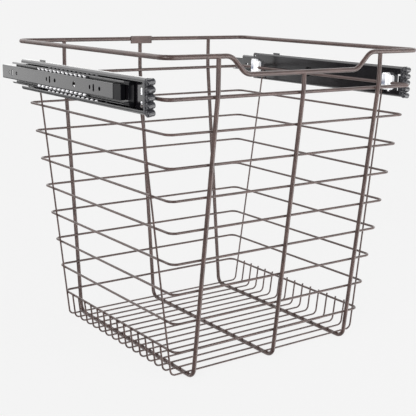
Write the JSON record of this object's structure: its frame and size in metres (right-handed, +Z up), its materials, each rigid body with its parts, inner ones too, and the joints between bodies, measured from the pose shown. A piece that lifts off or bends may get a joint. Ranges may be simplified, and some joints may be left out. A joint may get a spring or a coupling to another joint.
{
  "type": "pull out wire basket",
  "caption": "Deep tapered wire basket with a scooped front rim, pulling out on full-extension ball-bearing side slides with plastic clips and ribbed end bumpers.",
  "frame": {"origin": "on the floor under the basket's feet, below the middle of the whole: half way between the slides, and half way from the front of the rim to the back end of the cabinet rails, as stored", "axes": "+Z up, -Y the way the basket pulls out, +X to the right seen from the front"},
  "size_m": [0.4572, 0.4482, 0.443],
  "materials": {
    "bronze_coat": "satin dark bronze powder coat",
    "slide_enamel": "glossy black electrophoretic coat on cold-rolled steel",
    "cage_steel": "dark plated sheet steel",
    "steel_balls": "polished bearing steel",
    "stop_plastic": "moulded black plastic",
    "bumper_plastic": "glossy black moulded plastic",
    "clip_plastic": "milky translucent nylon"
  },
  "bodies": {
    "cabinet_rails": {"left_cabinet_rail": "slide_enamel", "left_rail_stop": "stop_plastic", "right_cabinet_rail": "slide_enamel", "right_rail_stop": "stop_plastic"},
    "left_middle": {"left_middle_rail": "slide_enamel", "left_middle_band": "stop_plastic"},
    "left_inner_balls_cage": {"left_inner_cage": "cage_steel", "left_inner_balls": "steel_balls"},
    "left_outer_balls_cage": {"left_outer_cage": "cage_steel", "left_outer_balls": "steel_balls"},
    "right_middle": {"right_middle_rail": "slide_enamel", "right_middle_band": "stop_plastic"},
    "right_inner_balls_cage": {"right_inner_cage": "cage_steel", "right_inner_balls": "steel_balls"},
    "right_outer_balls_cage": {"right_outer_cage": "cage_steel", "right_outer_balls": "steel_balls"},
    "basket": {"back_plate": "bronze_coat", "carrier_ring": "bronze_coat", "cross_wire_01": "bronze_coat", "cross_wire_02": "bronze_coat", "cross_wire_03": "bronze_coat", "cross_wire_04": "bronze_coat", "cross_wire_05": "bronze_coat", "cross_wire_06": "bronze_coat", "cross_wire_07": "bronze_coat", "cross_wire_08": "bronze_coat", "cross_wire_09": "bronze_coat", "cross_wire_10": "bronze_coat", "cross_wire_11": "bronze_coat", "cross_wire_12": "bronze_coat", "cross_wire_13": "bronze_coat", "cross_wire_14": "bronze_coat", "cross_wire_15": "bronze_coat", "cross_wire_16": "bronze_coat", "left_basket_rail": "slide_enamel", "left_end_bumper": "bumper_plastic", "left_front_clip": "clip_plastic", "left_rear_clip": "clip_plastic", "right_basket_rail": "slide_enamel", "right_end_bumper": "bumper_plastic", "right_front_clip": "clip_plastic", "right_rear_clip": "clip_plastic", "rim_dip": "bronze_coat", "top_rim": "bronze_coat", "u_frame_left": "bronze_coat", "u_frame_middle": "bronze_coat", "u_frame_right": "bronze_coat", "wall_ring_1": "bronze_coat", "wall_ring_2": "bronze_coat", "wall_ring_3": "bronze_coat", "wall_ring_4": "bronze_coat", "wall_ring_5": "bronze_coat", "wall_ring_6": "bronze_coat", "wall_ring_7": "bronze_coat", "wall_ring_8": "bronze_coat"}
  },
  "joints": [
    {"name": "basket_pull", "type": "slide", "parent": "cabinet_rails", "child": "basket", "axis": [0, -1, 0], "range_m": [-0.053, 0.295]},
    {"name": "left_middle_run", "type": "slide", "parent": "cabinet_rails", "child": "left_middle", "axis": [0, -1, 0], "range_m": [-0.0265, 0.1475]},
    {"name": "left_inner_balls_cage_run", "type": "slide", "parent": "cabinet_rails", "child": "left_inner_balls_cage", "axis": [0, -1, 0], "range_m": [-0.01325, 0.07375]},
    {"name": "left_outer_balls_cage_run", "type": "slide", "parent": "cabinet_rails", "child": "left_outer_balls_cage", "axis": [0, -1, 0], "range_m": [-0.03975, 0.22125]},
    {"name": "right_middle_run", "type": "slide", "parent": "cabinet_rails", "child": "right_middle", "axis": [0, -1, 0], "range_m": [-0.0265, 0.1475]},
    {"name": "right_inner_balls_cage_run", "type": "slide", "parent": "cabinet_rails", "child": "right_inner_balls_cage", "axis": [0, -1, 0], "range_m": [-0.01325, 0.07375]},
    {"name": "right_outer_balls_cage_run", "type": "slide", "parent": "cabinet_rails", "child": "right_outer_balls_cage", "axis": [0, -1, 0], "range_m": [-0.03975, 0.22125]}
  ],
  "couplings": [
    {"joint": "left_middle_run", "follows": "basket_pull", "ratio": 0.5},
    {"joint": "left_inner_balls_cage_run", "follows": "basket_pull", "ratio": 0.25},
    {"joint": "left_outer_balls_cage_run", "follows": "basket_pull", "ratio": 0.75},
    {"joint": "right_middle_run", "follows": "basket_pull", "ratio": 0.5},
    {"joint": "right_inner_balls_cage_run", "follows": "basket_pull", "ratio": 0.25},
    {"joint": "right_outer_balls_cage_run", "follows": "basket_pull", "ratio": 0.75}
  ]
}
